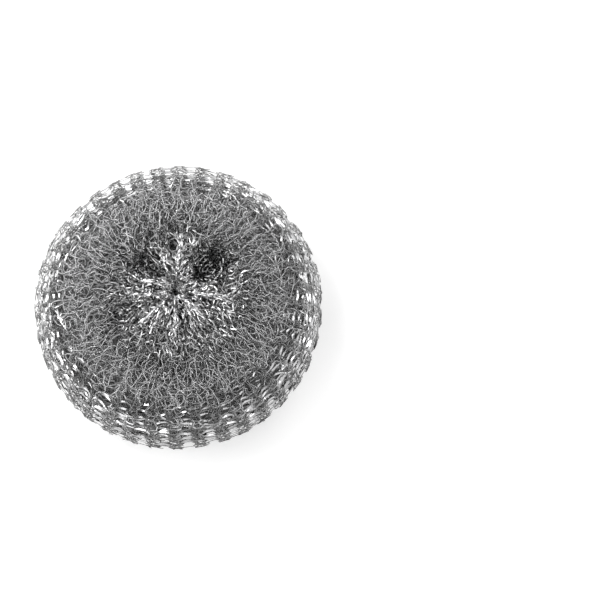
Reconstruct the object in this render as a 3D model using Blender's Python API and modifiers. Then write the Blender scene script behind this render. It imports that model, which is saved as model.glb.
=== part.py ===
"""A metal scourer: one tube of knitted steel wire, rolled in on itself like a ring and drawn
together in the middle of both faces.

The solid is the wall of that ring. Each column of stitches, called a wale here, stands out as a
rib that runs from the pucker on top, over the rim, to the pucker below. The eyelets between the
wales open into the hollow of the roll. Pleats run out from the top pucker, with deep tucks between
them. It lies on its back face, +Z up, with its origin on the ground under its centre. Lengths are
in metres.
"""

import math
from dataclasses import dataclass

import bmesh
import bpy
from mathutils import Vector
from mathutils.geometry import interpolate_bezier

NAME = "knitted_mesh"

# Overall size, over the crests of the ribs
DIAMETER = 0.115
HEIGHT = 0.045

# The ring's section, also to the crests
CROWN_RADIUS = 0.034
THROAT_RADIUS = 0.0018
TOP_PUCKER_DEPTH = 0.0145
BACK_PUCKER_DEPTH = 0.0125
SOLE_WIDTH = 0.006
SHOULDER_FULLNESS = 0.62
DIMPLE_FLOOR = 0.30
DIMPLE_LIP = 0.50
FLOOR_RISE = 0.25
PUCKER_SHIFT = 0.0045

# The knit
WALES = 38
WALL = 0.0014
RIM_RIB = 0.0021
FACE_RIB = 0.0013
GATHER_RIB = 0.0018
THROAT_RIB = 0.0004
CREST_SHARE = 0.30
VALLEY_SHARE = 0.22
STITCH_SWAY = 0.04

# The eyelets between the wales
EYELETS = 3
EYELET_LENGTH = 0.0105
EYELET_MIDDLE_SHARE = 0.34
EYELET_END_SHARE = 0.12
EYELET_BAR = 0.0070

# How unevenly the ring is rolled, and how much of its crests lies pressed flat
OUT_OF_ROUND = 0.012
RIB_UNEVENNESS = 0.25
SOLE_PRESS = 0.0005

# Mesh fineness
COLUMNS_PER_WALE = 4
DIMPLE_ROWS = 4
BACK_DIMPLE_ROWS = 2
CURVE_POINTS = 48

STEEL_COLOR = (0.50, 0.50, 0.51, 1.0)
STEEL_ROUGHNESS = 0.32


@dataclass
class Tuck:
    """A deep hollow in the top dimple, at an angle in degrees and a distance from the pucker."""

    angle: float
    distance: float
    width: float
    depth: float


@dataclass
class Pleat:
    """A raised gather that runs out from the pucker, at an angle in degrees."""

    angle: float
    start: float
    end: float
    width: float
    height: float


TUCKS = (
    Tuck(angle=38, distance=0.017, width=0.010, depth=0.009),
    Tuck(angle=140, distance=0.015, width=0.008, depth=0.007),
    Tuck(angle=205, distance=0.022, width=0.006, depth=0.003),
)
PLEATS = (
    Pleat(angle=-3, start=0.007, end=0.025, width=0.0022, height=0.0032),
    Pleat(angle=90, start=0.004, end=0.027, width=0.0026, height=0.0032),
    Pleat(angle=112, start=0.010, end=0.026, width=0.0016, height=0.0022),
    Pleat(angle=160, start=0.005, end=0.018, width=0.0016, height=0.0016),
    Pleat(angle=188, start=0.005, end=0.020, width=0.0016, height=0.0016),
    Pleat(angle=226, start=0.003, end=0.023, width=0.0018, height=0.0022),
    Pleat(angle=241, start=0.008, end=0.020, width=0.0014, height=0.0018),
    Pleat(angle=264, start=0.003, end=0.019, width=0.0018, height=0.0022),
    Pleat(angle=305, start=0.004, end=0.016, width=0.0014, height=0.0016),
    Pleat(angle=318, start=0.003, end=0.020, width=0.0014, height=0.0016),
)
PLEAT_END_TAPER = 0.7


@dataclass
class Ring:
    """One ring of vertices of the wall's inner face, and the knit that stands on it."""

    radius: float
    height: float
    rib: float
    valley_share: float = VALLEY_SHARE
    opens: bool = False
    steps_from_rim: int = 0


class Track:
    """A run of the section, read by the distance along it."""

    def __init__(self, points):
        self.points = points
        self.marks = [0.0]
        for before, after in zip(points, points[1:]):
            self.marks.append(self.marks[-1] + (after - before).length)
        self.length = self.marks[-1]

    def ring(self, distance, rib, **knit):
        """The ring under the crest that lies this far along."""
        last = len(self.points) - 2
        i = min(last, sum(mark <= distance for mark in self.marks[1:-1]))
        step = self.points[i + 1] - self.points[i]
        share = (distance - self.marks[i]) / step.length
        outward = Vector((-step.y, step.x)).normalized()
        base = self.points[i] + step * share - outward * (WALL + rib)
        return Ring(base.x, base.y, rib, **knit)


def dimple(crown_radius, depth):
    """The section from the throat up to the crown, with the crown at height 0."""
    throat = Vector((THROAT_RADIUS, -depth))
    crown = Vector((crown_radius, 0))
    run = crown.x - throat.x
    floor = throat + Vector((run * DIMPLE_FLOOR, depth * FLOOR_RISE))
    lip = crown - Vector((run * DIMPLE_LIP, 0))
    return interpolate_bezier(throat, floor, lip, crown, CURVE_POINTS)


def shoulder(crown_radius):
    """The section from the crown out to the rim, with the crown at height 0."""
    crown = Vector((crown_radius, 0))
    rim = Vector((DIAMETER / 2, -HEIGHT / 2))
    out = Vector(((rim.x - crown.x) * SHOULDER_FULLNESS, 0))
    up = Vector((0, -rim.y * SHOULDER_FULLNESS))
    return interpolate_bezier(crown, crown + out, rim + up, rim, CURVE_POINTS)


def on_top(points):
    return [Vector((point.x, HEIGHT + point.y)) for point in points]


def on_back(points):
    return [Vector((point.x, -point.y)) for point in reversed(points)]


def gather_rib(share):
    """The height of the gathers, this share of the way up the dimple."""
    if share < 0.5:
        return THROAT_RIB + (GATHER_RIB - THROAT_RIB) * share / 0.5
    return GATHER_RIB + (FACE_RIB - GATHER_RIB) * (share - 0.5) / 0.5


def eyelet_rings(track, start):
    """Three rings for each eyelet: its two ends and, between them, its widest place."""
    half = EYELET_LENGTH / 2
    for i in range(EYELETS):
        end = start + i * (EYELET_LENGTH + EYELET_BAR)
        yield track.ring(end, RIM_RIB, valley_share=EYELET_END_SHARE, opens=True)
        yield track.ring(end + half, RIM_RIB, valley_share=EYELET_MIDDLE_SHARE, opens=True)
        yield track.ring(end + 2 * half, RIM_RIB, valley_share=EYELET_END_SHARE)


def section_rings():
    """The closed section, from the throat over the top, the rim and the back to the throat."""
    top = Track(on_top(dimple(CROWN_RADIUS, TOP_PUCKER_DEPTH)))
    over = on_top(shoulder(CROWN_RADIUS))
    under = on_back(shoulder(CROWN_RADIUS + SOLE_WIDTH / 2))
    around = Track(over[:-1] + under)
    back = Track(on_back(dimple(CROWN_RADIUS - SOLE_WIDTH / 2, BACK_PUCKER_DEPTH)))

    rings = []
    for i in range(DIMPLE_ROWS):
        share = i / DIMPLE_ROWS
        rings.append(top.ring(share * top.length, gather_rib(share)))
    rings.append(around.ring(0, FACE_RIB))
    knitted = EYELETS * EYELET_LENGTH + (EYELETS - 1) * EYELET_BAR
    rings += eyelet_rings(around, Track(over).length - knitted / 2)
    rings.append(around.ring(around.length, FACE_RIB))
    for i in range(BACK_DIMPLE_ROWS + 1):
        share = i / BACK_DIMPLE_ROWS
        rings.append(back.ring(share * back.length, gather_rib(1 - share)))
    widest = max(range(len(rings)), key=lambda i: rings[i].radius)
    for i, ring in enumerate(rings):
        ring.steps_from_rim = i - widest
    return rings


def turned_sheet(rings):
    """The section turned round Z, as an open sheet with the number of its ring on each vertex."""
    count = len(rings)
    section = bpy.data.meshes.new("section")
    section.from_pydata(
        [(ring.radius, 0, ring.height) for ring in rings],
        [(i, (i + 1) % count) for i in range(count)],
        [],
    )
    section.attributes.new("ring", "INT", "POINT").data.foreach_set("value", range(count))
    turned = bpy.data.objects.new("section", section)
    bpy.context.scene.collection.objects.link(turned)
    screw = turned.modifiers.new("turn", "SCREW")
    screw.steps = screw.render_steps = WALES * COLUMNS_PER_WALE
    graph = bpy.context.evaluated_depsgraph_get()
    sheet = bpy.data.meshes.new_from_object(turned.evaluated_get(graph))
    sheet.name = NAME
    bpy.data.objects.remove(turned)
    return sheet


def unevenness(steps_from_rim, angle):
    """From 0 to 1, alike on opposite sides, so that the ring stays centred, and 0 where it is widest."""
    wave = math.cos(4 * angle + 1.7 * steps_from_rim) * math.cos(10 * angle - 0.9 * steps_from_rim)
    return 0.5 - 0.5 * wave


def knit(sheet, rings):
    """Draws the columns together into wales, opens the eyelets and returns the wall's thickness."""
    mesh = bmesh.new()
    mesh.from_mesh(sheet)
    ring_of = mesh.verts.layers.int["ring"]
    pitch = math.tau / WALES
    thickness = []
    column_of = {}
    for vertex in mesh.verts:
        number = vertex[ring_of]
        ring = rings[number]
        angle = math.atan2(vertex.co.y, vertex.co.x)
        wale, column = divmod(round(angle / pitch * COLUMNS_PER_WALE), COLUMNS_PER_WALE)
        column_of[vertex] = column
        half_crest, half_valley = CREST_SHARE / 2, ring.valley_share / 2
        share = (-half_crest, half_crest, 0.5 - half_valley, 0.5 + half_valley)[column]
        sway = STITCH_SWAY * (-1) ** number
        angle = (wale + share + (sway if column < 2 else 0)) * pitch
        radius = ring.radius * (1 + OUT_OF_ROUND * math.sin(angle) ** 2)
        vertex.co.x = radius * math.cos(angle)
        vertex.co.y = radius * math.sin(angle)
        uneven = 1 - RIB_UNEVENNESS * unevenness(ring.steps_from_rim, angle)
        thickness.append(WALL + (ring.rib * uneven if column < 2 else 0))
    open_rows = {(i, i + 1) for i, ring in enumerate(rings) if ring.opens}
    eyelets = [
        face
        for face in mesh.faces
        if {column_of[vertex] for vertex in face.verts} == {2, 3}
        and tuple(sorted({vertex[ring_of] for vertex in face.verts})) in open_rows
    ]
    bmesh.ops.delete(mesh, geom=eyelets, context="FACES_ONLY")
    mesh.to_mesh(sheet)
    mesh.free()
    return thickness


def thickened(sheet, thickness):
    """The sheet as a wall, thicker along each wale."""
    wall = bpy.data.objects.new(NAME, sheet)
    bpy.context.scene.collection.objects.link(wall)
    group = wall.vertex_groups.new(name="thickness")
    thickest = max(thickness)
    for i, value in enumerate(thickness):
        group.add([i], value / thickest, "REPLACE")
    solidify = wall.modifiers.new("wall", "SOLIDIFY")
    solidify.thickness = thickest
    solidify.offset = 1
    solidify.vertex_group = group.name
    graph = bpy.context.evaluated_depsgraph_get()
    solid = bpy.data.meshes.new_from_object(wall.evaluated_get(graph))
    bpy.data.objects.remove(wall)
    return solid


def smooth_step(value, low, high):
    """From 0 where the value is low to 1 where it is high."""
    share = min(1, max(0, (value - low) / (high - low)))
    return share * share * (3 - 2 * share)


def tuck_depth(tuck, x, y):
    """How far a tuck sinks the top face at a place."""
    angle = math.radians(tuck.angle)
    offset = math.hypot(x - tuck.distance * math.cos(angle), y - tuck.distance * math.sin(angle))
    return tuck.depth * max(0, 1 - (offset / tuck.width) ** 2) ** 2


def pleat_height(pleat, x, y):
    """How far a pleat raises the top face at a place."""
    angle = math.radians(pleat.angle)
    along = x * math.cos(angle) + y * math.sin(angle)
    aside = y * math.cos(angle) - x * math.sin(angle)
    reach = smooth_step(along, pleat.start / 2, pleat.start)
    reach *= 1 - smooth_step(along, pleat.end * PLEAT_END_TAPER, pleat.end)
    return pleat.height * reach * max(0, 1 - (aside / pleat.width) ** 2) ** 2


def gather_top(solid):
    """Folds the wall of the top face in pleats and tucks, and draws its pucker off the centre."""
    for vertex in solid.vertices:
        x, y, z = vertex.co
        if z > HEIGHT / 2:
            vertex.co.z += sum(pleat_height(pleat, x, y) for pleat in PLEATS)
            vertex.co.z -= sum(tuck_depth(tuck, x, y) for tuck in TUCKS)
            vertex.co.y += PUCKER_SHIFT * max(0, 1 - math.hypot(x, y) / CROWN_RADIUS)


def press_flat(solid):
    """Lays the lowest crests flat on the ground."""
    for vertex in solid.vertices:
        if vertex.co.z < SOLE_PRESS:
            vertex.co.z = 0


def steel():
    material = bpy.data.materials.new("steel_wire")
    material.use_nodes = True
    shader = material.node_tree.nodes["Principled BSDF"]
    shader.inputs["Base Color"].default_value = STEEL_COLOR
    shader.inputs["Metallic"].default_value = 1.0
    shader.inputs["Roughness"].default_value = STEEL_ROUGHNESS
    return material


def main():
    for old in list(bpy.data.objects):
        bpy.data.objects.remove(old)
    rings = section_rings()
    sheet = turned_sheet(rings)
    thickness = knit(sheet, rings)
    solid = thickened(sheet, thickness)
    gather_top(solid)
    press_flat(solid)
    solid.materials.append(steel())
    scourer = bpy.data.collections.new("metal_scourer")
    bpy.context.scene.collection.children.link(scourer)
    scourer.objects.link(bpy.data.objects.new(NAME, solid))
    solid.shade_smooth()
    solid.set_sharp_from_angle(angle=math.radians(50))


main()
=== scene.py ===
"""Looks of a metal scourer: a tube of knitted steel wire, rolled in on itself into a ring.

The wire itself is made here. Each layer of the roll is one long wire that goes round and round the
ring, course after course, and makes a loop at every wale. The layers replace the plain ribbed wall
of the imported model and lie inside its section.

Lengths are in metres and angles in degrees. A zone is a range over which something changes.
"""

import logging
import math
from dataclasses import dataclass, field

import bpy
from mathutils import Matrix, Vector


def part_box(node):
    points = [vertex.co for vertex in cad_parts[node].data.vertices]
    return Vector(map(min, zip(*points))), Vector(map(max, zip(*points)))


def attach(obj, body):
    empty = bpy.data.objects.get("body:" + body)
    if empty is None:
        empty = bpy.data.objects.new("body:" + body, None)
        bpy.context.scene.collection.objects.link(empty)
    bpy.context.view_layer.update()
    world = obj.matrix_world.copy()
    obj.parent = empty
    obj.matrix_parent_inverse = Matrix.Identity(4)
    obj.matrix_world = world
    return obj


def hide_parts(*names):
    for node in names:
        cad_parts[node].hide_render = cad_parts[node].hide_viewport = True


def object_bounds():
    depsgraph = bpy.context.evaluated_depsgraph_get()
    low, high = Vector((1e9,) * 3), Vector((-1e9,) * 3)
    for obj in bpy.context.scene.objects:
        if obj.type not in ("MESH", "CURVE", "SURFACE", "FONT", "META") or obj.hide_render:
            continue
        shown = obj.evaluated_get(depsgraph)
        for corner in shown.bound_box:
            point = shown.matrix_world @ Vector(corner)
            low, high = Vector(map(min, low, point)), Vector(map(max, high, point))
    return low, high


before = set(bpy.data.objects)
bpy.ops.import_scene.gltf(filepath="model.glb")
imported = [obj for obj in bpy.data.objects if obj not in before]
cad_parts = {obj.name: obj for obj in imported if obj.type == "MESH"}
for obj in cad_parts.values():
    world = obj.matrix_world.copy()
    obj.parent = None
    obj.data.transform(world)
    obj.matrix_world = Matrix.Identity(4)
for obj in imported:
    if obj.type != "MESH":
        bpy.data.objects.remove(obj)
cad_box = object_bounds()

Zone = tuple[float, float]
Row = tuple[float, ...]
Color = tuple[float, float, float, float]

LOG = logging.getLogger("scourer")
NODE = "knitted_mesh"
BODY = "root"
# The mark on each point of the wire that the finish turns into colour: mostly painted shade where high and
# painted highlight where low, with random tone.
TONE_AND_PAINTED_LIGHT = "tone_and_painted_light"
MM = 0.001
WHITE: Color = (1.0, 1.0, 1.0, 1.0)
NOISE_MIDDLE = 0.5
NOISE_GAIN = 3.0
# The colour sockets of a Mix node, which share their names with its sockets for plain numbers.
MIX_A, MIX_B, MIX_RESULT = 6, 7, 2


class Field:
    """A value that flows through a node tree, with the arithmetic of a number."""

    def __init__(self, tree: "Tree", socket: bpy.types.NodeSocket) -> None:
        """Wraps an output socket of the tree."""
        self.tree = tree
        self.socket = socket

    def _math(self, operation: str, *others: "Field | float") -> "Field":
        """One Math node with this value first."""
        return self.tree.math(operation, self, *others)

    def __add__(self, other: "Field | float") -> "Field":
        """The sum."""
        return self._math("ADD", other)

    def __radd__(self, other: float) -> "Field":
        """The sum, with a plain number first."""
        return self._math("ADD", other)

    def __sub__(self, other: "Field | float") -> "Field":
        """The difference."""
        return self._math("SUBTRACT", other)

    def __rsub__(self, other: float) -> "Field":
        """A plain number less this value."""
        return self.tree.math("SUBTRACT", other, self)

    def __mul__(self, other: "Field | float") -> "Field":
        """The product."""
        return self._math("MULTIPLY", other)

    def __rmul__(self, other: float) -> "Field":
        """The product, with a plain number first."""
        return self._math("MULTIPLY", other)

    def __truediv__(self, other: "Field | float") -> "Field":
        """The quotient."""
        return self._math("DIVIDE", other)

    def floor(self) -> "Field":
        """The whole part."""
        return self._math("FLOOR")

    def fraction(self) -> "Field":
        """What is left past the whole part."""
        return self._math("FRACT")

    def sine(self) -> "Field":
        """The sine of an angle in radians."""
        return self._math("SINE")

    def cosine(self) -> "Field":
        """The cosine of an angle in radians."""
        return self._math("COSINE")

    def root(self) -> "Field":
        """The square root."""
        return self._math("SQRT")

    def at_least(self, other: "Field | float") -> "Field":
        """The larger of the two."""
        return self._math("MAXIMUM", other)

    def at_most(self, other: "Field | float") -> "Field":
        """The smaller of the two."""
        return self._math("MINIMUM", other)

    def ramp(self, low: float, high: float) -> "Field":
        """A smooth step.

        Args:
            low: The value at which it leaves 0.
            high: The value at which it reaches 1.

        Returns:
            The step at this value.
        """
        node = self.tree.run(
            "ShaderNodeMapRange",
            {"Value": self, "From Min": low, "From Max": high},
            interpolation_type="SMOOTHSTEP",
        )
        return Field(self.tree, node.outputs["Result"])

    def curve(self, *heights: float) -> "Field":
        """This value sent through a smooth curve.

        Args:
            heights: The curve's heights at even steps from 0 to 1.

        Returns:
            The curve's height at this value.
        """
        node = self.tree.add("ShaderNodeFloatCurve")
        node.mapping.use_clip = False
        line = node.mapping.curves[0]
        steps = len(heights) - 1
        line.points[0].location, line.points[-1].location = (0, heights[0]), (1, heights[-1])
        for i in range(1, steps):
            line.points.new(i / steps, heights[i])
        node.mapping.update()
        self.tree.feed(node.inputs["Value"], self)
        return Field(self.tree, node.outputs[0])


class Tree:
    """Builds one Geometry Nodes tree and remembers its named inputs."""

    def __init__(self, name: str) -> None:
        """Starts a tree that takes a shape in and gives a shape out."""
        self.group = bpy.data.node_groups.new(name, "GeometryNodeTree")
        self.sockets: dict[str, str] = {}
        self._socket("Geometry", "INPUT", "NodeSocketGeometry")
        self._socket("Geometry", "OUTPUT", "NodeSocketGeometry")
        self.start = self.add("NodeGroupInput")
        self.end = self.add("NodeGroupOutput")

    def _socket(self, name: str, way: str, kind: str) -> bpy.types.NodeTreeInterfaceSocket:
        """One socket of the tree's interface."""
        return self.group.interface.new_socket(name=name, in_out=way, socket_type=kind)

    def size(self, name: str, kind: str = "NodeSocketFloat") -> Field:
        """A named input for a size.

        Args:
            name: What a person would call the size.
            kind: The socket's type.

        Returns:
            The input's value inside the tree.
        """
        self.sockets[name] = self._socket(name, "INPUT", kind).identifier
        return Field(self, self.start.outputs[name])

    def add(self, kind: str, **settings: object) -> bpy.types.Node:
        """A new node with these settings."""
        node = self.group.nodes.new(kind)
        for name, value in settings.items():
            setattr(node, name, value)
        return node

    def feed(self, socket: bpy.types.NodeSocket, value: object) -> None:
        """Gives an input its value.

        Args:
            socket: The input.
            value: A field or a socket to link to it, or a plain value to set it to.
        """
        if isinstance(value, Field):
            value = value.socket
        if isinstance(value, bpy.types.NodeSocket):
            self.group.links.new(value, socket)
        else:
            socket.default_value = value

    def run(self, kind: str, inputs: dict[str, object], **settings: object) -> bpy.types.Node:
        """A new node with its inputs fed.

        Args:
            kind: The node's type.
            inputs: What goes into each input, by the input's name.
            settings: The node's own settings.

        Returns:
            The node.
        """
        node = self.add(kind, **settings)
        for name, value in inputs.items():
            self.feed(node.inputs[name], value)
        return node

    def math(self, operation: str, *values: Field | float) -> Field:
        """A Math node.

        Args:
            operation: What it works out.
            values: Up to three values.

        Returns:
            The result.
        """
        node = self.add("ShaderNodeMath", operation=operation)
        for socket, value in zip(node.inputs, values):
            self.feed(socket, value)
        return Field(self, node.outputs[0])

    def vector(self, x: Field | float, y: Field | float, z: Field | float) -> bpy.types.NodeSocket:
        """Three values as one vector."""
        return self.run("ShaderNodeCombineXYZ", {"X": x, "Y": y, "Z": z}).outputs[0]

    def parts(self, vector: bpy.types.NodeSocket) -> tuple[Field, Field, Field]:
        """A vector's three values."""
        node = self.run("ShaderNodeSeparateXYZ", {"Vector": vector})
        return Field(self, node.outputs[0]), Field(self, node.outputs[1]), Field(self, node.outputs[2])

    def chance(self, lowest: float, highest: float, seed: Field, number: Field) -> Field:
        """A random value that stays the same for each number.

        Args:
            lowest: The least that it can be.
            highest: The most that it can be.
            seed: A seed that no other draw of the layer has.
            number: What the value is drawn for, such as the number of a stitch.

        Returns:
            The value.
        """
        node = self.run(
            "FunctionNodeRandomValue",
            {"Min": lowest, "Max": highest, "ID": number, "Seed": seed},
            data_type="FLOAT",
        )
        return Field(self, node.outputs["Value"])

    def noise(
        self, place: bpy.types.NodeSocket, turn: Field | float, cell: float
    ) -> tuple[Field, Field, Field]:
        """Smooth random values.

        Args:
            place: Where the values are read.
            turn: A fourth coordinate, which gives other values at the same place.
            cell: About how wide the bumps are.

        Returns:
            Three values from about -1 to 1.
        """
        node = self.run(
            "ShaderNodeTexNoise",
            {"Vector": place, "W": turn, "Scale": 1 / cell, "Detail": 0.0},
            noise_dimensions="4D",
        )
        red, green, blue = ((part - NOISE_MIDDLE) * NOISE_GAIN for part in self.parts(node.outputs["Color"]))
        return red, green, blue

    def sample(self, share: Field) -> tuple[Field, Field, Field, Field]:
        """A place on the section, which is the shape that the tree starts from.

        Args:
            share: The share of the way along the section.

        Returns:
            The radius and the height there, and the section's direction in both.
        """
        node = self.run(
            "GeometryNodeSampleCurve",
            {"Curves": self.start.outputs["Geometry"], "Factor": share.fraction()},
            mode="FACTOR",
            use_all_curves=True,
        )
        radius, _, height = self.parts(node.outputs["Position"])
        run, _, rise = self.parts(node.outputs["Tangent"])
        return radius, height, run, rise

    def finish(self, shape: bpy.types.NodeSocket, smooth: Field | bool, material: bpy.types.Material) -> None:
        """Ends the tree: the shape is shaded, made real, dressed and sent out.

        Args:
            shape: The geometry.
            smooth: Where it is shaded smooth.
            material: What it is dressed in.
        """
        shaded = self.run("GeometryNodeSetShadeSmooth", {"Geometry": shape, "Shade Smooth": smooth})
        real = self.run("GeometryNodeRealizeInstances", {"Geometry": shaded.outputs[0]})
        dressed = self.run("GeometryNodeSetMaterial", {"Geometry": real.outputs[0], "Material": material})
        self.feed(self.end.inputs["Geometry"], dressed.outputs[0])

    def apply(self, shape: bpy.types.Object, name: str, values: dict[str, object]) -> bpy.types.Object:
        """Runs the tree on a shape.

        Args:
            shape: The object that the tree starts from. It is removed.
            name: The name of the finished piece.
            values: The named inputs.

        Returns:
            A plain mesh object at the origin.
        """
        modifier = shape.modifiers.new(name, "NODES")
        modifier.node_group = self.group
        for label, value in values.items():
            modifier[self.sockets[label]] = value
        graph = bpy.context.evaluated_depsgraph_get()
        mesh = bpy.data.meshes.new_from_object(shape.evaluated_get(graph))
        mesh.name = name
        bpy.data.objects.remove(shape)
        piece = bpy.data.objects.new(name, mesh)
        bpy.context.scene.collection.objects.link(piece)
        return piece


@dataclass(frozen=True)
class Steel:
    """A finish of drawn wire: bare steel, duller in random patches, and mixed from bright to dark by the mark
    laid on the wire, which is mostly painted shade and painted highlight.
    """

    name: str
    # The colours at both ends of the mark: the dark end is mostly painted shade, and the bright end is
    # reached only where the mark paints highlight.
    bright: Color
    shaded_and_dull: Color
    smooth: float
    rough: float
    patch: float = 6 * MM
    patch_detail: float = 3.0
    patch_zone: Zone = (0.3, 0.7)
    patchiness: float = 0.3

    def material(self) -> bpy.types.Material:
        """The finish as a material.

        Returns:
            The material, which reads the mark laid on the wire: painted shade and highlight, with some random
            tone.
        """
        material = bpy.data.materials.new(self.name)
        material.use_nodes = True
        nodes, links = material.node_tree.nodes, material.node_tree.links
        shader = nodes["Principled BSDF"]
        shader.inputs["Metallic"].default_value = 1.0
        place = nodes.new("ShaderNodeTexCoord")
        noise = nodes.new("ShaderNodeTexNoise")
        noise.inputs["Scale"].default_value = 1 / self.patch
        noise.inputs["Detail"].default_value = self.patch_detail
        links.new(place.outputs["Object"], noise.inputs["Vector"])
        # The wire's mark mixes the colour from bright to dark: painted shade and highlight, over random
        # duller patches.
        mark = nodes.new("ShaderNodeAttribute")
        mark.attribute_name = TONE_AND_PAINTED_LIGHT
        tone_and_painted_light = nodes.new("ShaderNodeMath")
        tone_and_painted_light.operation = "MULTIPLY_ADD"
        tone_and_painted_light.use_clamp = True
        tone_and_painted_light.inputs[1].default_value = self.patchiness
        links.new(noise.outputs["Fac"], tone_and_painted_light.inputs[0])
        links.new(mark.outputs["Fac"], tone_and_painted_light.inputs[2])
        color = nodes.new("ShaderNodeMix")
        color.data_type = "RGBA"
        color.inputs[MIX_A].default_value = self.bright
        color.inputs[MIX_B].default_value = self.shaded_and_dull
        links.new(tone_and_painted_light.outputs[0], color.inputs["Factor"])
        links.new(color.outputs[MIX_RESULT], shader.inputs["Base Color"])
        rough = nodes.new("ShaderNodeMapRange")
        rough.inputs["From Min"].default_value = self.patch_zone[0]
        rough.inputs["From Max"].default_value = self.patch_zone[1]
        rough.inputs["To Min"].default_value = self.smooth
        rough.inputs["To Max"].default_value = self.rough
        links.new(noise.outputs["Fac"], rough.inputs["Value"])
        links.new(rough.outputs["Result"], shader.inputs["Roughness"])
        return material


# From painted highlight to painted shade, by the wire's mark.
WIRE = Steel("steel_wire", (0.88, 0.88, 0.89, 1.0), (0.12, 0.12, 0.12, 1.0), 0.16, 0.30)
# Dark steel for the inner mass: painted shade for the deep gaps between the wires.
SHADED_INNER_WIRE = Steel("shaded_inner_steel", (0.14, 0.14, 0.14, 1.0), (0.08, 0.08, 0.08, 1.0), 0.50, 0.65)


@dataclass
class Section:
    """The section of the ring, to the crests of its ribs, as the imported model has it."""

    crown_radius: float = 34 * MM
    throat_radius: float = 1.8 * MM
    hole_radius: float = 0.5 * MM
    top_pucker_depth: float = 14.5 * MM
    back_pucker_depth: float = 12.5 * MM
    sole_width: float = 6 * MM
    shoulder_fullness: float = 0.62
    dimple_floor: float = 0.30
    dimple_lip: float = 0.50
    floor_rise: float = 0.25
    throat_pull: float = 0.05
    hole_drop: float = 0.25
    smoothness: int = 64

    def knots(self) -> list[tuple[Vector, Vector, Vector]]:
        """The section's points, from the top hole over the rim to the back hole.

        Returns:
            Each point between its two handles, in radius and height.
        """
        _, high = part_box(NODE)
        rim_radius, height = high.x, high.z
        throat, depth = self.throat_radius, self.top_pucker_depth
        half_sole = self.sole_width / 2
        full = self.shoulder_fullness
        knots = []

        def knot(radius: float, z: float, before: Zone, after: Zone) -> None:
            """One point with its two handles given from the point."""
            knots.append(tuple(Vector((radius + x, 0, z + up)) for x, up in (before, (0, 0), after)))

        run = self.crown_radius - throat
        out = (rim_radius - self.crown_radius) * full
        rise = depth * self.hole_drop
        knot(self.hole_radius, height - depth - rise, (0, -rise), (0, rise / 2))
        floor = (run * self.dimple_floor, depth * self.floor_rise)
        knot(throat, height - depth, (-run * self.throat_pull, -rise / 3), floor)
        knot(self.crown_radius, height, (-run * self.dimple_lip, 0), (out, 0))
        knot(rim_radius, height / 2, (0, height / 2 * full), (0, -height / 2 * full))
        outer, inner = self.crown_radius + half_sole, self.crown_radius - half_sole
        knot(outer, 0, ((rim_radius - outer) * full, 0), (-half_sole / 2, 0))
        run, depth = inner - throat, self.back_pucker_depth
        rise = depth * self.hole_drop
        knot(inner, 0, (half_sole / 2, 0), (-run * self.dimple_lip, 0))
        floor = (run * self.dimple_floor, -depth * self.floor_rise)
        knot(throat, depth, floor, (-run * self.throat_pull, rise / 3))
        knot(self.hole_radius, depth + rise, (0, -rise / 2), (0, rise))
        return knots

    def curve(self) -> bpy.types.Object:
        """The section as a shape.

        Returns:
            A closed curve object in the XZ plane.
        """
        data = bpy.data.curves.new("section", "CURVE")
        data.dimensions = "3D"
        data.resolution_u = self.smoothness
        knots = self.knots()
        spline = data.splines.new("BEZIER")
        spline.use_cyclic_u = True
        spline.bezier_points.add(len(knots) - 1)
        for point, (before, place, after) in zip(spline.bezier_points, knots):
            point.handle_left_type = point.handle_right_type = "FREE"
            point.handle_left, point.co, point.handle_right = before, place, after
        made = bpy.data.objects.new("section", data)
        bpy.context.scene.collection.objects.link(made)
        return made


@dataclass(frozen=True)
class Tuck:
    """A deep fold in the top dimple, at an angle and a radius from the pucker."""

    angle: float
    radius: float
    width: float
    depth: float

    def sink(self, x: Field, y: Field) -> Field:
        """How far down the tuck draws a place.

        Args:
            x: The place across.
            y: The place along.

        Returns:
            The depth there.
        """
        angle = math.radians(self.angle)
        across = (x - self.radius * math.cos(angle)) / self.width
        along = (y - self.radius * math.sin(angle)) / self.width
        inside = (1.0 - (across * across + along * along)).at_least(0)
        return inside * inside * self.depth


@dataclass(frozen=True)
class Pleat:
    """A raised bundle of wire that runs out from the pucker at an angle.

    It begins at a share of its inner radius, stands at full height from there on, fades from a share
    of its outer radius and draws in the wire beside it.
    """

    angle: float
    inner: float
    outer: float
    width: float
    height: float
    start: float = 0.5
    fade: float = 0.7
    grasp: float = 2.0
    draw: float = 0.7

    def gather(self, x: Field, y: Field) -> tuple[Field, Field, Field, Field]:
        """What the pleat does to a place.

        Args:
            x: The place across.
            y: The place along.

        Returns:
            How far it moves the place across, back along and up, and how deep in the pleat it lies.
        """
        angle = math.radians(self.angle)
        along = x * math.cos(angle) + y * math.sin(angle)
        side = y * math.cos(angle) - x * math.sin(angle)
        faded = along.ramp(self.outer * self.fade, self.outer)
        reach = along.ramp(self.inner * self.start, self.inner) * (1.0 - faded)
        inside = (1.0 - (side * side) / self.width**2).at_least(0)
        nearby = (1.0 - (side * side) / (self.width * self.grasp) ** 2).at_least(0)
        drawn = side * nearby * reach * self.draw
        raised = inside * inside * reach * self.height
        return drawn * math.sin(angle), drawn * math.cos(angle), raised, nearby * reach


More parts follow.
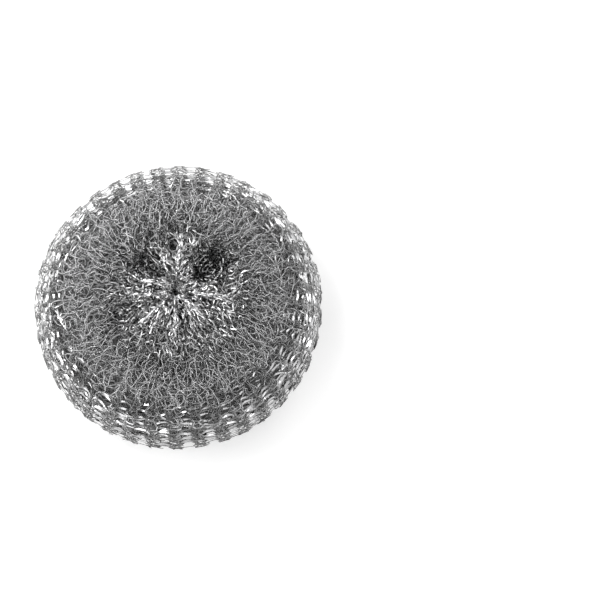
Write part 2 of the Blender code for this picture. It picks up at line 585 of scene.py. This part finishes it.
@dataclass
class Gathers:
    """How the top dimple is drawn together: where its pucker lies, its pleats and its tucks."""

    shift: float = 4.5 * MM
    sway: float = -1.2 * MM
    reach: float = 34 * MM
    ruffle_height: float = 1.8 * MM
    ruffle_spread: float = 9 * MM
    ruffle_slant: float = 0.3
    ruffle_cell: float = 3 * MM
    ruffles_start: Zone = (3 * MM, 7 * MM)
    ruffles_end: Zone = (18 * MM, 28 * MM)
    top_zone: Zone = (0.45, 0.6)
    hub_radius: float = 0.1 * MM
    tucks: tuple[Tuck, ...] = (
        Tuck(38.0, 17 * MM, 10 * MM, 9.0 * MM),
        Tuck(140.0, 15 * MM, 8 * MM, 6.0 * MM),
        Tuck(205.0, 22 * MM, 6 * MM, 3.0 * MM),
        Tuck(-18.0, 13.5 * MM, 4.5 * MM, 2.5 * MM),
        Tuck(90.0, 21 * MM, 8 * MM, 3.0 * MM),
    )
    pleats: tuple[Pleat, ...] = (
        Pleat(-9.0, 8 * MM, 25 * MM, 1.8 * MM, 3.2 * MM),
        Pleat(84.0, 3 * MM, 27 * MM, 1.9 * MM, 3.0 * MM),
        Pleat(112.0, 8 * MM, 18 * MM, 1.0 * MM, 1.8 * MM),
        Pleat(160.0, 5 * MM, 18 * MM, 1.0 * MM, 1.6 * MM),
        Pleat(188.0, 5 * MM, 20 * MM, 1.0 * MM, 1.6 * MM),
        Pleat(226.0, 3 * MM, 23 * MM, 1.2 * MM, 2.2 * MM),
        Pleat(241.0, 8 * MM, 20 * MM, 1.0 * MM, 1.8 * MM),
        Pleat(273.0, 3 * MM, 19 * MM, 1.4 * MM, 2.2 * MM),
        Pleat(305.0, 4 * MM, 16 * MM, 1.0 * MM, 1.6 * MM),
        Pleat(318.0, 3 * MM, 20 * MM, 1.0 * MM, 1.6 * MM),
    )

    def shape(
        self, t: Tree, x: Field, y: Field, radius: Field, cosine: Field, sine: Field
    ) -> tuple[Field, Field, Field, Field]:
        """How the ruffles, the tucks and the pleats move a place of the top face.

        Args:
            t: The tree that asks.
            x: The place across.
            y: The place along.
            radius: The radius of its seat on the section.
            cosine: The cosine of its direction.
            sine: The sine of its direction.

        Returns:
            How far it is moved in X, Y and Z, and how deep in a pleat it lies.
        """
        spread = self.ruffle_spread
        ring = t.vector(cosine * spread, sine * spread, radius * self.ruffle_slant)
        wave, _, _ = t.noise(ring, 0.0, self.ruffle_cell)
        rise = wave * self.ruffle_height
        rise = rise * radius.ramp(*self.ruffles_start) * (1.0 - radius.ramp(*self.ruffles_end))
        over, up, gathered = x * 0.0, y * 0.0, x * 0.0
        for tuck in self.tucks:
            rise = rise - tuck.sink(x, y)
        for pleat in self.pleats:
            across, back, raised, inside = pleat.gather(x, y)
            over, up, rise = over + across, up - back, rise + raised
            gathered = gathered.at_least(inside)
        return over, up, rise, gathered

    def place(
        self, t: Tree, x: Field, y: Field, z: Field, radius: Field, height: Field
    ) -> tuple[Field, Field, Field, Field]:
        """Moves a point of the plain ring to where the gathers put it.

        Args:
            t: The tree that asks.
            x: The point's place across.
            y: The point's place along.
            z: The point's own height.
            radius: The radius of its seat on the section.
            height: The height of that seat.

        Returns:
            The new place in X, Y and Z, and how deep in a pleat it lies.
        """
        _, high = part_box(NODE)
        top = height.ramp(high.z * self.top_zone[0], high.z * self.top_zone[1])
        distance = (x * x + y * y).root().at_least(self.hub_radius)
        over, up, rise, gathered = self.shape(t, x, y, radius, x / distance, y / distance)
        pull = (1.0 - radius / self.reach).at_least(0)
        over, up = over + pull * self.sway, up + pull * self.shift
        return x + over * top, y + up * top, z + rise * top, gathered * top


@dataclass(frozen=True)
class Drift:
    """A smooth random drift: how wide its bumps are, and how much it changes with each course."""

    cell: float
    change: float


@dataclass
class KnitTree:
    """The node tree that all the knitted layers share. It lays one long wire, stitch by stitch.

    The six rows say how the wire runs through a stitch, at even steps from the middle of one float to
    the middle of the next. The zones are ranges of the radius, but for the two of the tilt: a range
    of the height, and one from an upright wall to a level face.
    """

    gathers: Gathers
    finish: bpy.types.Material
    climb: Row = (0.0, 0.0, 0.30, 0.78, 1.0, 0.78, 0.30, 0.0, 0.0)
    swing: Row = (0.0, -0.34, -0.14, -0.5, 0.0, 0.5, 0.14, 0.34, 0.0)
    lift: Row = (0.35, 0.5, 1.0, 0.6, 0.1, 0.6, 1.0, 0.5, 0.35)
    between: Row = (0.0, 0.5, 0.5, 0.5, 0.5, 0.5, 0.5, 0.5, 1.0)
    slack: Row = (1.0, 0.0, 0.0, 0.0, 0.0, 0.0, 0.0, 0.0, 1.0)
    crest: Row = (0.0, 0.3, 0.55, 0.75, 1.0, 0.75, 0.55, 0.3, 0.0)
    points: int = 16
    rim_zone: Zone = (40.5 * MM, 45.5 * MM)
    rim_scatter: float = 3.0 * MM
    dimple_zone: Zone = (10 * MM, 32 * MM)
    depth_zone: Zone = (0.0, 6 * MM)
    crimp_zone: Zone = (0.0, 2.5 * MM)
    ray_zone: Zone = (5 * MM, 13 * MM)
    pleat_zone: Zone = (3 * MM, 8 * MM)
    width_zone: Zone = (2 * MM, 14 * MM)
    near_zone: Zone = (4 * MM, 22 * MM)
    bank_start: Zone = (11 * MM, 18 * MM)
    bank_end: Zone = (23 * MM, 30 * MM)
    core_zone: Zone = (2 * MM, 7 * MM)
    hole_zone: Zone = (0.6 * MM, 1.4 * MM)
    tilt_height: Zone = (6 * MM, 14 * MM)
    tilt_slope: Zone = (-0.1, 0.5)
    lean_drift: Drift = Drift(14 * MM, 0.15)
    push_drift: Drift = Drift(8 * MM, 1.3)
    crimp_drift: Drift = Drift(1.8 * MM, 4.1)
    twist_drift: Drift = Drift(6 * MM, 2.3)
    narrowest: float = 0.65
    widening: float = 0.25
    rim_tilt: float = 1.0
    float_tilt: float = 0.9
    # Painted shade: on the rim's loops, on steep walls, in the dimple, round the pucker and on the dimple's
    # wall.
    loop_shade_and_tone: float = 0.78
    steep_shade: float = 0.2
    dimple_shade: float = 0.3
    gather_shade: float = 0.56
    bank_shade: float = 0.09
    # Painted light round the throat.
    core_light: float = 0.12
    # Painted shade in the hole.
    hole_shade: float = 0.5
    # Painted shade on one side: darker towards +X and -Y, lighter on the opposite side.
    side_shade: Zone = (0.05, -0.06)
    # Painted highlight on the pleats.
    pleat_highlight: float = 0.45
    rays: float = 3.0
    ray_length: float = 2.5 * MM
    ray_height: float = 0.4 * MM
    # Painted highlight along the rays.
    ray_highlight: float = 0.45
    round_patch: float = 2.5 * MM
    round_start: Zone = (14 * MM, 34 * MM)
    round_end: Zone = (46 * MM, 52 * MM)
    flat_floats: Zone = (41 * MM, 46 * MM)
    bare_zone: Zone = (0.3, 0.5)
    tree: Tree = field(init=False)

    def __post_init__(self) -> None:
        """Builds the tree."""
        t = self.tree = Tree("knitted_wire")
        wales, courses = t.size("Wales"), t.size("Courses")
        seed = t.size("Seed", "NodeSocketInt")
        turn, crowding = t.size("Turn"), t.size("Rim Crowding")
        face_depth, rim_depth = t.size("Depth on the Faces"), t.size("Depth at the Rim")
        loop_width, loop_height, loop_lift = t.size("Loop Width"), t.size("Loop Height"), t.size("Loop Lift")
        sinker, rib = t.size("Sinker Length"), t.size("Rib Height")
        tangle, sinking, crimp = t.size("Tangle"), t.size("Sinking"), t.size("Crimp")
        width, flatness = t.size("Wire Width"), t.size("Wire Flatness")
        tone_and_painted_light, float_painted_light = t.size("Tone and Painted Light"), t.size("Painted Light of the Floats")
        float_width = t.size("Float Widening")

        number = Field(t, t.add("GeometryNodeInputIndex").outputs[0])
        along = number / float(self.points)
        stitch, phase = along.floor(), along.fraction()
        course = along / wales
        length = Field(t, t.run("GeometryNodeCurveLength", {"Curve": t.start.outputs["Geometry"]}).outputs[0])

        share = (course + 0.5) / (courses + 1.0)
        share = share + (share * math.tau).sine() * crowding / math.tau
        foot_radius, _, _, _ = t.sample(share)
        pitch = foot_radius * math.tau / wales
        scatter = t.chance(-self.rim_scatter, self.rim_scatter, seed + 4.0, stitch)
        rim = (foot_radius + scatter).ramp(*self.rim_zone)
        gather = 1.0 - foot_radius.ramp(*self.dimple_zone)
        narrow = (loop_width * 0.22 + pitch * 0.85).at_most(loop_width) * (0.95 + rim * 0.1 - gather * 0.45)
        spare = (loop_width * 2.5 - pitch).at_least(0)

        calm = 1.0 - rim * 0.4
        tall = loop_height * (1.0 - gather * 0.3) + spare * (0.3 - gather * 0.2)
        tall = tall * (1.0 + t.chance(-0.4, 0.4, seed + 1.0, stitch) * calm)
        wide = narrow * (1.0 + t.chance(-0.4, 0.3, seed + 2.0, stitch) * calm)
        up = phase.curve(*self.climb) * tall
        radius, height, run, rise = t.sample(share + up / length)
        out_run, out_rise = rise * -1.0, run
        angle = (stitch + phase.curve(*self.between) + turn) / wales * math.tau
        cosine, sine = angle.cosine(), angle.sine()

        span = (pitch - narrow * 0.6).at_least(0)
        sinker = sinker * (1.0 - gather * 0.6)
        bow = (sinker * sinker - span * span).at_least(0).root() * 0.5 * phase.curve(*self.slack)
        float_number = (along + 0.5).floor()
        way = t.chance(0, math.tau, seed + 3.0, float_number)

        spot = t.vector(radius * cosine, radius * sine, height)
        lean_x, _, _ = t.noise(spot, course * self.lean_drift.change + seed, self.lean_drift.cell)
        push_turn = course * self.push_drift.change + seed
        push_x, push_y, push_z = t.noise(spot, push_turn, self.push_drift.cell)
        crimp_turn = course * self.crimp_drift.change + seed
        crimp_x, crimp_y, crimp_z = t.noise(spot, crimp_turn, self.crimp_drift.cell)
        loose = tangle * calm * (1.0 - gather * 0.5)
        crimped = crimp * calm * gather

        across = phase.curve(*self.swing) * wide + up * lean_x * 0.5 * calm + push_x * loose
        across = across + crimp_x * crimped * 0.25
        forward = bow * way.cosine() * calm + push_y * loose + crimp_y * crimped * 0.35
        sunk = (1.0 - phase.curve(*self.crest)) * (1.0 + t.chance(-0.9, 0.6, seed + 5.0, float_number))
        inward = sunk * rib * rim + (1.0 - phase.curve(*self.lift)) * loop_lift
        inward = inward + bow * (way.sine() + 1.0) * 0.2 * calm
        inward = inward + (push_z * 0.8 + 0.6).at_least(0) * sinking * calm
        inward = (inward + face_depth) * foot_radius.ramp(*self.depth_zone) + (rim_depth - face_depth) * rim
        inward = inward + (crimp_z + 0.4).at_least(0) * crimped * foot_radius.ramp(*self.crimp_zone)
        rays = t.vector(cosine * self.rays, sine * self.rays, radius / self.ray_length)
        ray, _, _ = t.noise(rays, 0.0, 1.0)
        ray = ray * (1.0 - foot_radius.ramp(*self.ray_zone))
        inward = inward - ray * self.ray_height
        out = inward * -1.0 - width * 0.3

        reach = radius + out * out_run + forward * run
        x = reach * cosine - across * sine
        y = reach * sine + across * cosine
        z = height + out * out_rise + forward * rise
        x, y, z, pleated = self.gathers.place(t, x, y, z, radius, height)
        z = z.at_least(width * 0.6)

        twist_turn = course * self.twist_drift.change + seed + 0.5
        twist_x, twist_y, twist_z = t.noise(spot, twist_turn, self.twist_drift.cell)
        pleated = pleated * foot_radius.ramp(*self.pleat_zone)
        floats = phase.curve(*self.slack)
        twist, kink = 0.4 - rim * 0.1, gather * (1.3 - pleated * 0.8) + rim * (1.0 - floats) * 0.6
        steep = 1.0 - out_rise.ramp(*self.tilt_slope)
        tilt = floats * (1.0 - steep * 0.6) * self.float_tilt + 0.2
        tilt = tilt * rim * (height.ramp(*self.tilt_height) * 2.0 - 1.0)
        facing = t.vector(
            twist_x * twist + crimp_y * kink - out_run * cosine,
            twist_y * twist + crimp_z * kink - out_run * sine,
            twist_z * twist + crimp_x * kink - out_rise * (1.0 + rim * self.rim_tilt) - tilt,
        )
        floats = floats * floats
        scale = foot_radius.ramp(*self.width_zone) * self.widening + self.narrowest
        scale = scale + rim * (floats * float_width * (1.0 - steep * 0.5) + steep * 0.2)
        # The wire's mark: painted shade on the rim's loops, steep walls, the dimple, round the pucker, its
        # wall, in the hole and on one side; painted highlight or shade on the floats by layer, and painted
        # highlight on rays, pleats and round the throat; random tone per stitch.
        loop_shade_and_tone = t.chance(-0.3, 0.2, seed + 7.0, (along * 4.0).floor())
        loop_shade_and_tone = loop_shade_and_tone + steep * self.steep_shade + self.loop_shade_and_tone
        rim_shade_and_tone = floats * (float_painted_light - loop_shade_and_tone) + loop_shade_and_tone
        near = 1.0 - foot_radius.ramp(*self.near_zone)
        bank = foot_radius.ramp(*self.bank_start) * (1.0 - foot_radius.ramp(*self.bank_end))
        side_shaded = cosine * self.side_shade[0] + sine * self.side_shade[1]
        tone_and_painted_light = tone_and_painted_light + gather * self.dimple_shade
        tone_and_painted_light = tone_and_painted_light + (rim_shade_and_tone - tone_and_painted_light) * (rim * 1.6).at_most(1.0)
        tone_and_painted_light = tone_and_painted_light + (self.gather_shade - tone_and_painted_light) * near
        tone_and_painted_light = tone_and_painted_light + bank * self.bank_shade + side_shaded * (1.0 - gather) * (1.0 - rim)
        tone_and_painted_light = tone_and_painted_light + t.chance(-0.6, 0.55, seed + 6.0, (along * 6.0).floor()) * near
        tone_and_painted_light = tone_and_painted_light - ray * self.ray_highlight
        tone_and_painted_light = tone_and_painted_light - pleated * self.pleat_highlight
        tone_and_painted_light = tone_and_painted_light - (1.0 - foot_radius.ramp(*self.core_zone)) * self.core_light
        tone_and_painted_light = tone_and_painted_light + (1.0 - foot_radius.ramp(*self.hole_zone)) * self.hole_shade

        count = wales * courses * float(self.points)
        wire = self.line(count, t.vector(x, y, z), facing, tone_and_painted_light)
        circle = t.run("GeometryNodeCurvePrimitiveCircle", {"Resolution": 3, "Radius": width / 2.0})
        inputs = {"Geometry": circle.outputs[0], "Scale": t.vector(flatness, 1.0, 1.0)}
        profile = t.run("GeometryNodeTransform", inputs).outputs[0]
        inputs = {"Curve": wire, "Profile Curve": profile, "Scale": scale, "Fill Caps": True}
        swept = t.run("GeometryNodeCurveToMesh", inputs)
        t.finish(swept.outputs[0], self.rounded() - 0.5, self.finish)

    def line(
        self, count: Field, place: bpy.types.NodeSocket, facing: bpy.types.NodeSocket, tone_and_painted_light: Field
    ) -> bpy.types.NodeSocket:
        """Lays the line of the wire.

        Args:
            count: How many points it has.
            place: Where each point is.
            facing: Which way the flat of the wire faces there.
            tone_and_painted_light: How dark the wire is marked there: painted shade and highlight, with
                random tone.

        Returns:
            The line, with its mark of painted shade and highlight.
        """
        t = self.tree
        line = t.run("GeometryNodeMeshLine", {"Count": count})
        placed = t.run("GeometryNodeSetPosition", {"Geometry": line.outputs[0], "Position": place})
        wire = t.run("GeometryNodeMeshToCurve", {"Mesh": placed.outputs[0]})
        wire = t.run("GeometryNodeCurveSplineType", {"Curve": wire.outputs[0]}, spline_type="NURBS")
        wire = t.run("GeometryNodeSetSplineResolution", {"Geometry": wire.outputs[0], "Resolution": 1})
        wire = t.run("GeometryNodeSetCurveNormal", {"Curve": wire.outputs[0], "Normal": facing}, mode="FREE")
        inputs = {"Geometry": wire.outputs[0], "Name": TONE_AND_PAINTED_LIGHT, "Value": tone_and_painted_light}
        return t.run("GeometryNodeStoreNamedAttribute", inputs, data_type="FLOAT").outputs[0]

    def rounded(self) -> Field:
        """How much each face is shaded as round wire, and not as a flat strip.

        Returns:
            The share, which counts as round above a half.
        """
        t = self.tree
        here = t.add("GeometryNodeInputPosition").outputs[0]
        x, y, _ = t.parts(here)
        patch, _, _ = t.noise(here, 0.0, self.round_patch)
        reach = (x * x + y * y).root()
        mark = t.run("GeometryNodeInputNamedAttribute", {"Name": TONE_AND_PAINTED_LIGHT}, data_type="FLOAT")
        bare = 1.0 - Field(t, mark.outputs["Attribute"]).ramp(*self.bare_zone)
        rounded = (reach + patch * 7 * MM).ramp(*self.round_start) - reach.ramp(*self.round_end)
        return rounded - bare * (reach + patch * 2 * MM).ramp(*self.flat_floats)


@dataclass
class KnitLayer:
    """One layer of the roll: one wire, knitted round and round along the section."""

    name: str
    seed: int
    face_depth: float
    rim_depth: float
    # The layer's marks: deeper layers are marked darker, a painted shade; the outer layer's floats are marked
    # bright, a painted highlight.
    tone_and_painted_light: float
    float_painted_light: float
    float_widening: float = 1.4
    turn: float = 0.0
    courses: int = 52
    wales: int = 38
    crowding: float = 0.0
    wire_width: float = 0.48 * MM
    wire_thickness: float = 0.19 * MM
    loop_width: float = 4.8 * MM
    loop_height: float = 3.6 * MM
    loop_lift: float = 0.7 * MM
    sinker: float = 6.6 * MM
    rib: float = 2.0 * MM
    tangle: float = 2.6 * MM
    sinking: float = 1.8 * MM
    crimp: float = 1.0 * MM

    def build(self, tree: KnitTree, section: Section) -> bpy.types.Object:
        """Knits the layer and hangs it on the frame.

        Args:
            tree: The tree that knits.
            section: The section that it knits along.

        Returns:
            The finished piece.
        """
        values = {
            "Tone and Painted Light": self.tone_and_painted_light,
            "Painted Light of the Floats": self.float_painted_light,
            "Float Widening": self.float_widening,
            "Wales": float(self.wales),
            "Courses": float(self.courses),
            "Seed": self.seed,
            "Turn": self.turn,
            "Rim Crowding": self.crowding,
            "Depth on the Faces": self.face_depth,
            "Depth at the Rim": self.rim_depth,
            "Loop Width": self.loop_width,
            "Loop Height": self.loop_height,
            "Loop Lift": self.loop_lift,
            "Sinker Length": self.sinker,
            "Rib Height": self.rib,
            "Tangle": self.tangle,
            "Sinking": self.sinking,
            "Crimp": self.crimp,
            "Wire Width": self.wire_width,
            "Wire Flatness": self.wire_thickness / self.wire_width,
        }
        piece = tree.tree.apply(section.curve(), self.name, values)
        return hang(piece)


@dataclass
class InnerTurns:
    """The crowded inner turns of the roll, as one rough mass under the open layers, dressed dark as painted
    shade for the deep gaps.
    """

    name: str = "inner_turns"
    face_depth: float = 6.0 * MM
    rim_depth: float = 9.5 * MM
    around: int = 190
    along: int = 130
    roughness: float = 1.2 * MM
    cell: float = 3 * MM
    rim_zone: Zone = (40 * MM, 48 * MM)
    weld: float = 0.01 * MM

    def build(self, section: Section, gathers: Gathers, finish: bpy.types.Material) -> bpy.types.Object:
        """Makes the mass and hangs it on the frame.

        Args:
            section: The section of the ring.
            gathers: How the top dimple is drawn together.
            finish: The finish of the mass, a dark painted shade.

        Returns:
            The finished piece.
        """
        t = Tree(self.name)
        face_depth, rim_depth = t.size("Depth on the Faces"), t.size("Depth at the Rim")
        roughness = t.size("Roughness")
        around, along = t.size("Steps Around", "NodeSocketInt"), t.size("Steps Along", "NodeSocketInt")
        grid = t.run(
            "GeometryNodeMeshGrid", {"Size X": 1.0, "Size Y": 1.0, "Vertices X": around, "Vertices Y": along}
        )
        u, v, _ = t.parts(t.add("GeometryNodeInputPosition").outputs[0])
        angle = (u + 0.5) * math.tau
        radius, height, run, rise = t.sample(v + 0.5)
        cosine, sine = angle.cosine(), angle.sine()
        spot = t.vector(radius * cosine, radius * sine, height)
        bump, _, _ = t.noise(spot, 0.0, self.cell)
        out = bump * roughness - face_depth - (rim_depth - face_depth) * radius.ramp(*self.rim_zone)
        reach = radius - out * rise
        z = height + out * run
        x, y, z, _ = gathers.place(t, reach * cosine, reach * sine, z, radius, height)
        inputs = {"Geometry": grid.outputs[0], "Position": t.vector(x, y, z)}
        placed = t.run("GeometryNodeSetPosition", inputs).outputs[0]
        merged = t.run("GeometryNodeMergeByDistance", {"Geometry": placed, "Distance": self.weld})
        t.finish(merged.outputs[0], True, finish)
        values = {
            "Depth on the Faces": self.face_depth,
            "Depth at the Rim": self.rim_depth,
            "Roughness": self.roughness,
            "Steps Around": self.around + 1,
            "Steps Along": self.along + 1,
        }
        return hang(t.apply(section.curve(), self.name, values))


def hang(piece: bpy.types.Object) -> bpy.types.Object:
    """Hangs a finished piece on the frame, in place of the plain wall, and reports it.

    Args:
        piece: The piece.

    Returns:
        The same piece.
    """
    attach(piece, BODY)
    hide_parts(NODE)
    LOG.info("%s: %d triangles", piece.name, sum(len(p.vertices) - 2 for p in piece.data.polygons))
    return piece


@dataclass(frozen=True)
class Lamp:
    """A square soft lamp, by its direction from the object, in degrees."""

    name: str
    azimuth: float
    elevation: float
    distance: float
    size: float
    power: float

    def build(self, centre: Vector) -> None:
        """Hangs the lamp so that it points at the object.

        Args:
            centre: The object's centre.
        """
        data = bpy.data.lights.new(self.name, "AREA")
        data.shape, data.size, data.energy = "SQUARE", self.size, self.power
        azimuth, elevation = math.radians(self.azimuth), math.radians(self.elevation)
        flat = math.cos(elevation)
        way = Vector((flat * math.cos(azimuth), flat * math.sin(azimuth), math.sin(elevation)))
        made = bpy.data.objects.new(self.name, data)
        made.location = centre + way * self.distance
        made.rotation_mode = "QUATERNION"
        made.rotation_quaternion = (-way).to_track_quat("-Z", "Y")
        bpy.context.scene.collection.objects.link(made)


@dataclass
class Studio:
    """A pale floor, plain soft light and the camera of the photograph."""

    picture: int = 610
    object_pixel: tuple[float, float] = (178.8, 306.2)
    metres_per_pixel: float = 0.395 * MM
    elevation: float = 75.5
    lens: float = 100.0
    sensor: float = 36.0
    clip_near: float = 100.0
    clip_far: float = 20.0
    floor_size: float = 6.0
    floor_color: Color = (0.66, 0.66, 0.66, 1.0)
    floor_roughness: float = 0.9
    floor_gloss: float = 0.1
    floor_lift: float = 0.5
    world_light: float = 0.25
    world_white: float = 1.0
    lamps: tuple[Lamp, ...] = (
        Lamp("right", 0.0, 34.0, 1.0, 0.42, 2.1),
        Lamp("back_right", 60.0, 34.0, 1.0, 0.42, 2.2),
        Lamp("back_left", 120.0, 34.0, 1.0, 0.42, 2.2),
        Lamp("left", 180.0, 34.0, 1.0, 0.42, 3.6),
        Lamp("front_left", 240.0, 34.0, 1.0, 0.42, 1.8),
        Lamp("front_right", 300.0, 34.0, 1.0, 0.42, 0.9),
        Lamp("high_right", 30.0, 62.0, 1.0, 0.30, 0.6),
        Lamp("high_left", 150.0, 62.0, 1.0, 0.30, 3.4),
        Lamp("high_front_left", 215.0, 62.0, 1.0, 0.30, 1.2),
    )

    def camera(self, centre: Vector) -> None:
        """A camera that sees the object where the photograph has it.

        Args:
            centre: The object's centre.
        """
        data = bpy.data.cameras.new("camera")
        data.lens, data.sensor_width = self.lens, self.sensor
        distance = self.picture * self.metres_per_pixel * self.lens / self.sensor
        data.clip_start, data.clip_end = distance / self.clip_near, distance * self.clip_far
        angle = math.radians(self.elevation)
        back = Vector((0, -math.cos(angle), math.sin(angle)))
        up = Vector((0, math.sin(angle), math.cos(angle)))
        right = (self.picture / 2 - self.object_pixel[0]) * self.metres_per_pixel
        above = (self.object_pixel[1] - self.picture / 2) * self.metres_per_pixel
        made = bpy.data.objects.new("camera", data)
        made.location = centre + Vector((right, 0, 0)) + up * above + back * distance
        made.rotation_mode = "QUATERNION"
        made.rotation_quaternion = (-back).to_track_quat("-Z", "Y")
        bpy.context.scene.collection.objects.link(made)
        bpy.context.scene.camera = made

    def seen(self, tree: bpy.types.NodeTree, unseen: float, seen: float) -> bpy.types.NodeSocket:
        """A strength that is one thing to look at and another for what it lights.

        Args:
            tree: The nodes of the world or of a material.
            unseen: The strength for what it lights.
            seen: The strength for rays from the camera, a reflection or glass.

        Returns:
            The strength.
        """
        nodes, links = tree.nodes, tree.links
        path = nodes.new("ShaderNodeLightPath")
        either = nodes.new("ShaderNodeMath")
        either.operation = "MAXIMUM"
        links.new(path.outputs["Is Camera Ray"], either.inputs[0])
        links.new(path.outputs["Is Glossy Ray"], either.inputs[1])
        any_of_them = nodes.new("ShaderNodeMath")
        any_of_them.operation = "MAXIMUM"
        links.new(either.outputs[0], any_of_them.inputs[0])
        links.new(path.outputs["Is Transmission Ray"], any_of_them.inputs[1])
        strength = nodes.new("ShaderNodeMapRange")
        strength.inputs["To Min"].default_value = unseen
        strength.inputs["To Max"].default_value = seen
        links.new(any_of_them.outputs[0], strength.inputs["Value"])
        return strength.outputs["Result"]

    def world(self) -> None:
        """A world that looks white and gives a plain soft light."""
        world = bpy.data.worlds.new("studio")
        bpy.context.scene.world = world
        world.use_nodes = True
        background = world.node_tree.nodes["Background"]
        background.inputs["Color"].default_value = WHITE
        strength = self.seen(world.node_tree, self.world_light, self.world_white)
        world.node_tree.links.new(strength, background.inputs["Strength"])

    def floor(self) -> None:
        """A wide pale floor just under the object."""
        bpy.ops.mesh.primitive_plane_add(size=self.floor_size, location=(0, 0, 0))
        floor = bpy.context.object
        floor.name = "floor"
        material = bpy.data.materials.new("floor")
        material.use_nodes = True
        shader = material.node_tree.nodes["Principled BSDF"]
        shader.inputs["Base Color"].default_value = self.floor_color
        shader.inputs["Roughness"].default_value = self.floor_roughness
        shader.inputs["Specular IOR Level"].default_value = self.floor_gloss
        shader.inputs["Emission Color"].default_value = WHITE
        seen = self.seen(material.node_tree, 0.0, self.floor_lift)
        material.node_tree.links.new(seen, shader.inputs["Emission Strength"])
        floor.data.materials.append(material)

    def build(self, centre: Vector) -> None:
        """Sets up the whole studio round the object.

        Args:
            centre: The object's centre.
        """
        self.camera(centre)
        self.world()
        self.floor()
        for lamp in self.lamps:
            lamp.build(centre)
        bpy.context.scene.view_settings.view_transform = "Standard"


@dataclass
class Scourer:
    """The whole pad: five open layers of knit over the crowded inner turns."""

    section: Section = field(default_factory=Section)
    gathers: Gathers = field(default_factory=Gathers)
    inner: InnerTurns = field(default_factory=InnerTurns)
    # Deeper layers carry darker marks, painted shade; the outer layer's floats carry a painted highlight.
    layers: tuple[KnitLayer, ...] = (
        KnitLayer("outer_layer", 10, 0.0, 0.0, 0.41, -0.1, crowding=0.25, sinking=0.7 * MM),
        KnitLayer("second_layer", 20, 1.0 * MM, 2.6 * MM, 0.47, 0.45, 0.6, crowding=0.1),
        KnitLayer("third_layer", 30, 2.2 * MM, 4.8 * MM, 0.51, 0.75, 0.0, 0.05),
        KnitLayer("fourth_layer", 40, 3.4 * MM, 7.0 * MM, 0.55, 0.80, 0.0, 0.10, crowding=-0.1),
        KnitLayer("fifth_layer", 50, 4.6 * MM, 9.0 * MM, 0.60, 0.85, 0.0, 0.30, crowding=-0.1),
    )

    def build(self) -> None:
        """Makes the inner turns and the knitted layers."""
        self.inner.build(self.section, self.gathers, SHADED_INNER_WIRE.material())
        tree = KnitTree(self.gathers, WIRE.material())
        for layer in self.layers:
            layer.build(tree, self.section)


def main() -> None:
    """Builds the scourer and the studio."""
    logging.basicConfig(level=logging.INFO, format="%(name)s: %(message)s")
    low, high = cad_box
    Scourer().build()
    Studio().build((low + high) / 2)


if __name__ == "__main__":
    main()
